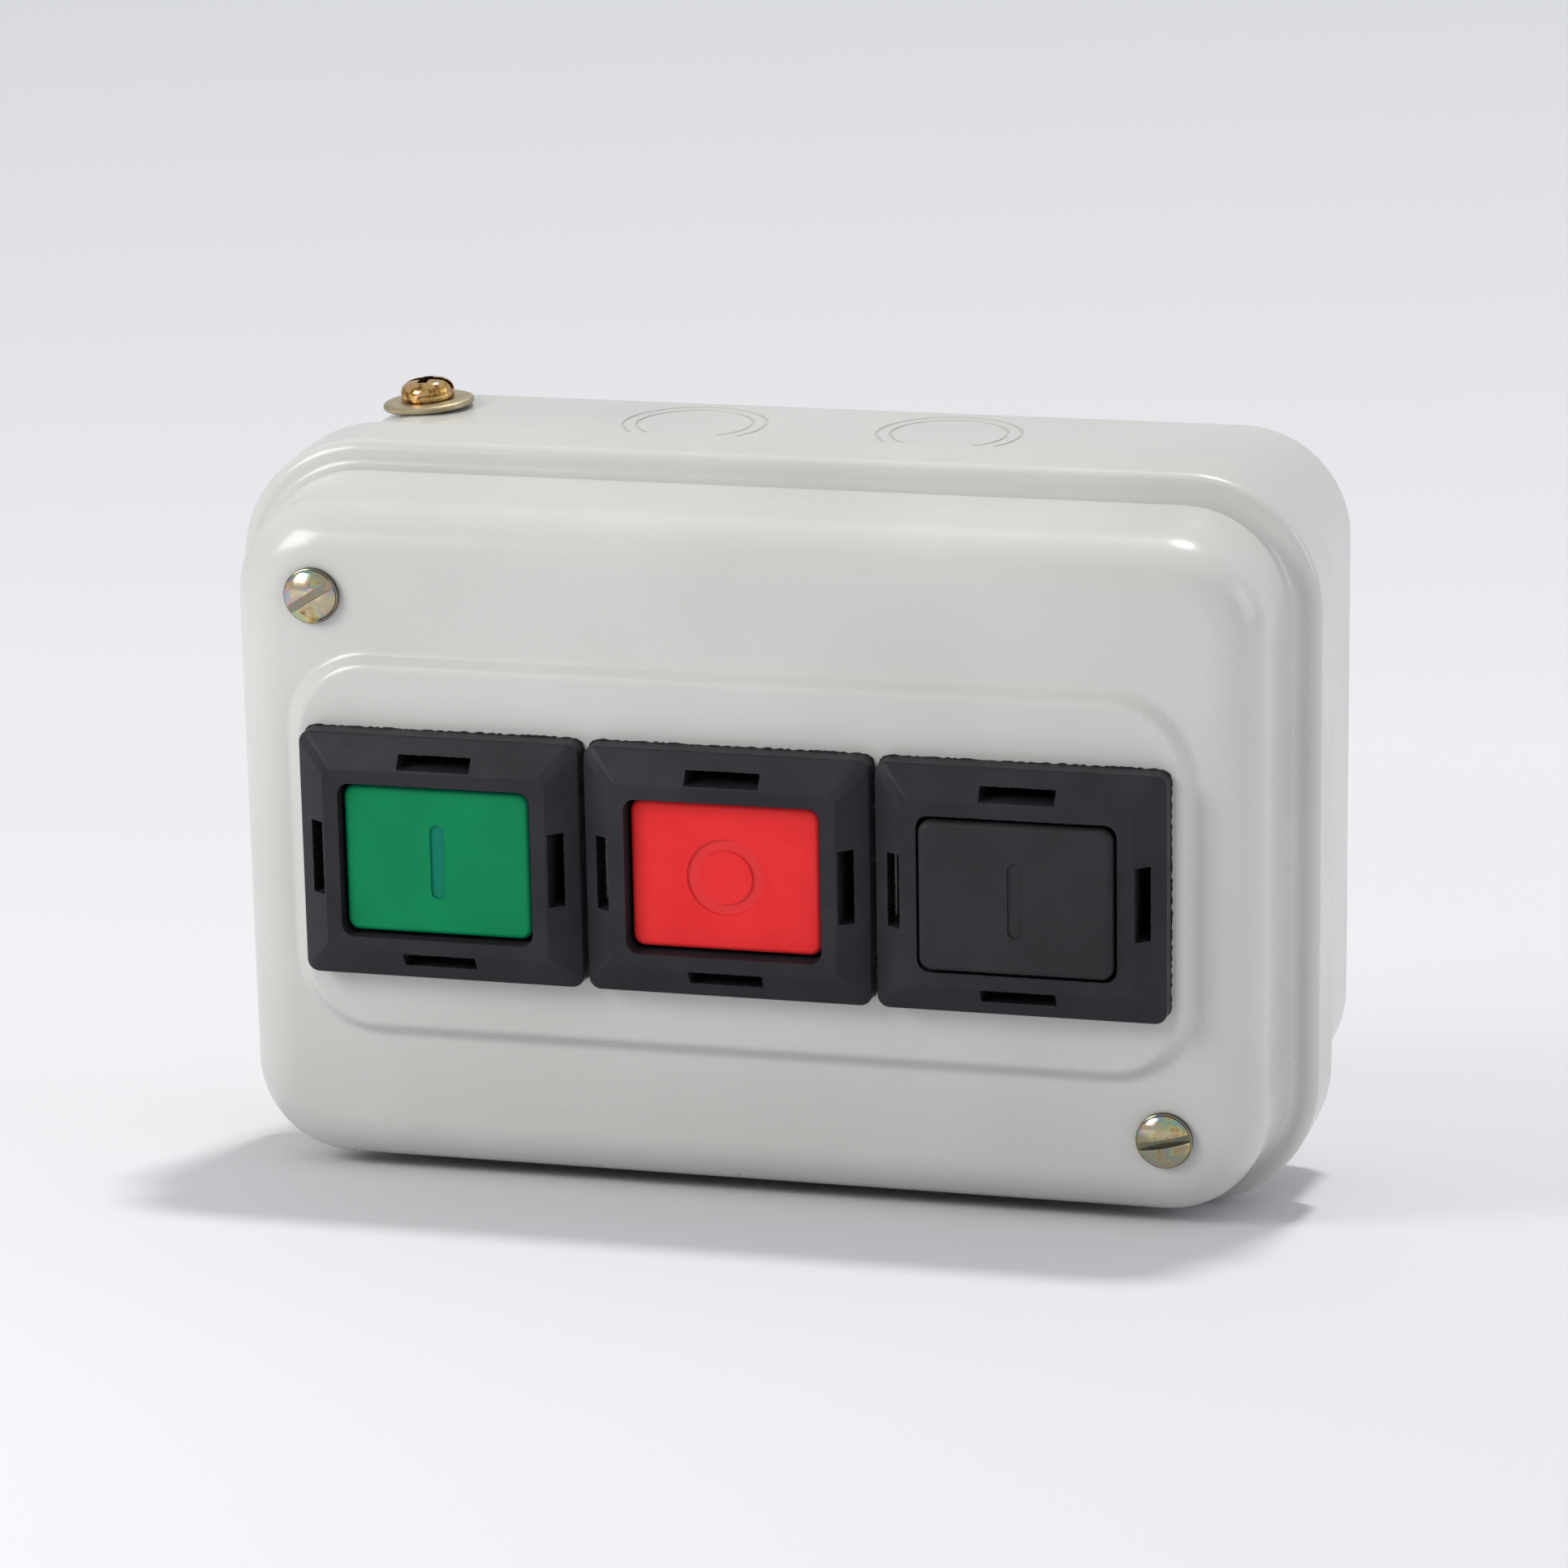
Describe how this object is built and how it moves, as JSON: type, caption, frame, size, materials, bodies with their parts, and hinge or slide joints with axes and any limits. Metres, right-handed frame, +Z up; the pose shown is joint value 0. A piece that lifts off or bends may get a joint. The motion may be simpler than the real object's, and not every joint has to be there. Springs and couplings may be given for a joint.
{
  "type": "pushbutton control station",
  "caption": "Pressed-steel pushbutton station: enamelled base box and drawn cover, snap-in bezels with sprung start and stop buttons over contact blocks.",
  "frame": {"origin": "centre of the base box's back face, the face that lies against the wall", "axes": "+X to the right seen from the front, +Y into the wall, +Z up"},
  "size_m": [0.1572, 0.0768, 0.1081],
  "materials": {
    "enamel": "light warm grey enamel, slight orange peel",
    "black_plastic": "fine matte grain",
    "green_plastic": "satin",
    "red_plastic": "satin",
    "dark_plastic": "satin",
    "yellow_zinc": "yellow passivated zinc, iridescent",
    "zinc": "bright zinc",
    "spring_steel": "drawn wire",
    "block_plastic": "moulded thermoset",
    "contact_brass": "stamped brass",
    "gasket_rubber": "extruded rubber"
  },
  "bodies": {
    "enclosure": {"base_box": "enamel", "front_cover": "enamel", "cover_gasket": "gasket_rubber", "pillar_left": "zinc", "pillar_right": "zinc", "cover_screws": "yellow_zinc", "earth_screw": "yellow_zinc", "earth_washer": "yellow_zinc", "earth_nut": "yellow_zinc", "mounting_rail": "zinc", "rail_rivets": "zinc", "block_screws": "zinc", "terminal_screws": "zinc", "bezel_left": "black_plastic", "bezel_centre": "black_plastic", "bezel_right": "black_plastic", "guide_plate_left": "black_plastic", "guide_plate_centre": "black_plastic", "guide_plate_right": "black_plastic", "return_spring_left": "spring_steel", "return_spring_centre": "spring_steel", "return_spring_right": "spring_steel", "contact_block_left": "block_plastic", "contact_block_centre": "block_plastic", "contact_block_right": "block_plastic", "plunger_spring_left": "spring_steel", "plunger_spring_centre": "spring_steel", "plunger_spring_right": "spring_steel", "upper_contact_left": "contact_brass", "upper_contact_centre": "contact_brass", "upper_contact_right": "contact_brass", "lower_contact_left": "contact_brass", "lower_contact_centre": "contact_brass", "lower_contact_right": "contact_brass"},
    "push_left": {"button_left": "green_plastic", "stem_clip_left": "spring_steel"},
    "carrier_left": {"plunger_left": "block_plastic", "bridge_left": "contact_brass"},
    "push_centre": {"button_centre": "red_plastic", "stem_clip_centre": "spring_steel"},
    "carrier_centre": {"plunger_centre": "block_plastic", "bridge_centre": "contact_brass"},
    "push_right": {"button_right": "dark_plastic", "stem_clip_right": "spring_steel"},
    "carrier_right": {"plunger_right": "block_plastic", "bridge_right": "contact_brass"}
  },
  "joints": [
    {"name": "press_left", "type": "slide", "parent": "enclosure", "child": "push_left", "axis": [0, 1, 0], "range_m": [0, 0.004], "stiffness_N_per_m": 600, "springref_m": -0.004, "deforming": ["return_spring_left"]},
    {"name": "carry_left", "type": "slide", "parent": "enclosure", "child": "carrier_left", "axis": [0, 1, 0], "range_m": [0, 0.004], "stiffness_N_per_m": 200, "springref_m": -0.004, "deforming": ["plunger_spring_left"]},
    {"name": "press_centre", "type": "slide", "parent": "enclosure", "child": "push_centre", "axis": [0, 1, 0], "range_m": [0, 0.004], "stiffness_N_per_m": 600, "springref_m": -0.004, "deforming": ["return_spring_centre"]},
    {"name": "carry_centre", "type": "slide", "parent": "enclosure", "child": "carrier_centre", "axis": [0, 1, 0], "range_m": [0, 0.004], "stiffness_N_per_m": 200, "springref_m": -0.004, "deforming": ["plunger_spring_centre"]},
    {"name": "press_right", "type": "slide", "parent": "enclosure", "child": "push_right", "axis": [0, 1, 0], "range_m": [0, 0.004], "stiffness_N_per_m": 600, "springref_m": -0.004, "deforming": ["return_spring_right"]},
    {"name": "carry_right", "type": "slide", "parent": "enclosure", "child": "carrier_right", "axis": [0, 1, 0], "range_m": [0, 0.004], "stiffness_N_per_m": 200, "springref_m": -0.004, "deforming": ["plunger_spring_right"]}
  ],
  "couplings": [
    {"joint": "carry_left", "follows": "press_left", "ratio": 1},
    {"joint": "carry_centre", "follows": "press_centre", "ratio": 1},
    {"joint": "carry_right", "follows": "press_right", "ratio": 1}
  ]
}
